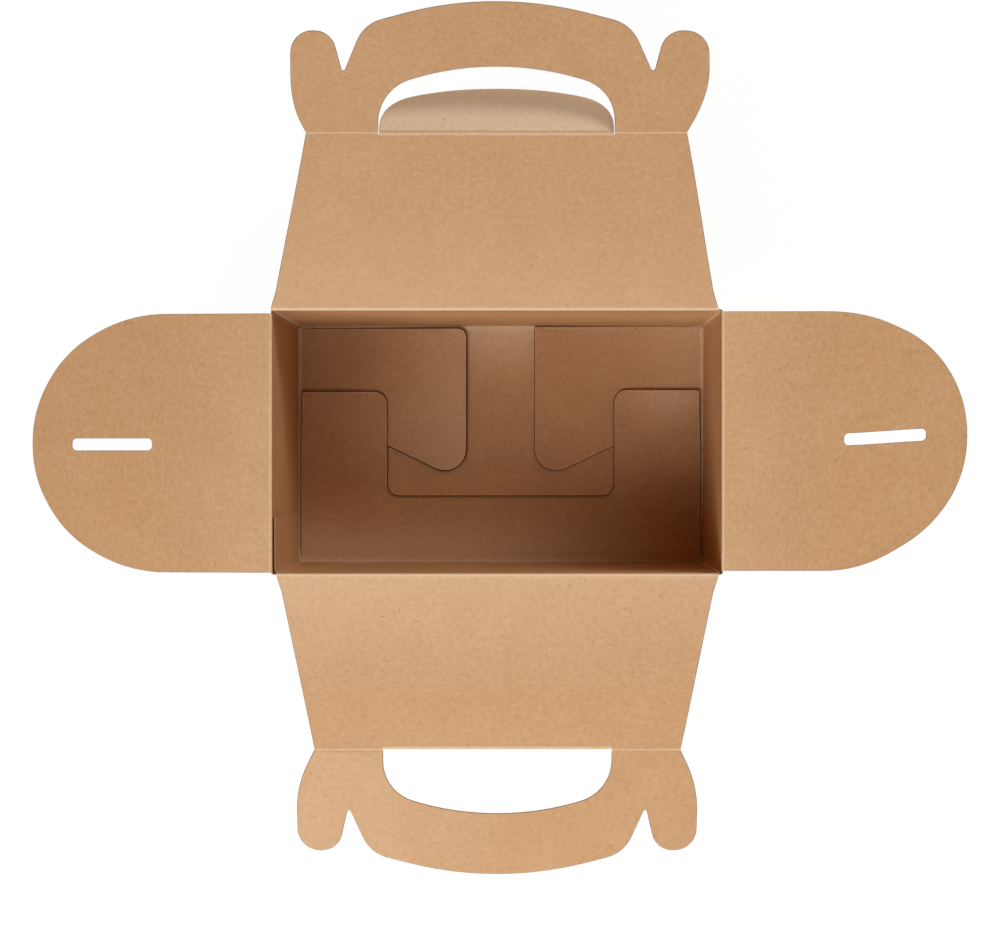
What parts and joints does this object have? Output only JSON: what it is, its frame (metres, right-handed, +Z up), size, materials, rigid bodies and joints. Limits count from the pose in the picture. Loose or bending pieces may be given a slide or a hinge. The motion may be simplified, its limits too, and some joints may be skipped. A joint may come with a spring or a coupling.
{
  "type": "gable box",
  "caption": "Open kraft-board gable box with a locked bottom, slotted side flaps and hinged roof panels that carry hand-hole handles.",
  "frame": {"origin": "centre of the base, on the face the box stands on", "axes": "+Z up, X along the long walls, +Y towards the back wall"},
  "size_m": [0.3285, 0.3015, 0.124],
  "materials": {
    "kraft_board": "matte"
  },
  "bodies": {
    "carton": {"carton": "kraft_board"},
    "left_side_flap": {"left_side_flap": "kraft_board"},
    "right_side_flap": {"right_side_flap": "kraft_board"},
    "back_roof_panel": {"back_roof_panel": "kraft_board"},
    "front_roof_panel": {"front_roof_panel": "kraft_board"},
    "back_handle": {"back_handle": "kraft_board"},
    "front_handle": {"front_handle": "kraft_board"},
    "back_hand_hole_tab": {"back_hand_hole_tab": "kraft_board"},
    "front_hand_hole_tab": {"front_hand_hole_tab": "kraft_board"}
  },
  "joints": [
    {"name": "left_side_flap_fold", "type": "hinge", "parent": "carton", "child": "left_side_flap", "pos_m": [-0.0792, 0, 0.089], "axis": [0, 1, 0], "range_deg": [-80, 99.5]},
    {"name": "right_side_flap_fold", "type": "hinge", "parent": "carton", "child": "right_side_flap", "pos_m": [0.0792, 0, 0.089], "axis": [0, -1, 0], "range_deg": [-85.5, 94]},
    {"name": "back_roof_fold", "type": "hinge", "parent": "carton", "child": "back_roof_panel", "pos_m": [0, 0.04655, 0.089], "axis": [1, 0, 0], "range_deg": [-68.8, 118.7]},
    {"name": "front_roof_fold", "type": "hinge", "parent": "carton", "child": "front_roof_panel", "pos_m": [0, -0.04655, 0.089], "axis": [-1, 0, 0], "range_deg": [-43.7, 143.8]},
    {"name": "back_handle_fold", "type": "hinge", "parent": "back_roof_panel", "child": "back_handle", "pos_m": [0, 0.10543, 0.10905], "axis": [-1, 0, 0], "range_deg": [0, 47.5]},
    {"name": "front_handle_fold", "type": "hinge", "parent": "front_roof_panel", "child": "front_handle", "pos_m": [0, -0.10837, 0.08217], "axis": [1, 0, 0], "range_deg": [0, 47.5]},
    {"name": "back_tab_fold", "type": "hinge", "parent": "back_roof_panel", "child": "back_hand_hole_tab", "pos_m": [0, 0.10496, 0.10888], "axis": [-1, 0, 0], "range_deg": [-58, 67]},
    {"name": "front_tab_fold", "type": "hinge", "parent": "front_roof_panel", "child": "front_hand_hole_tab", "pos_m": [0, -0.10788, 0.08223], "axis": [1, 0, 0], "range_deg": [-100, 25]}
  ]
}
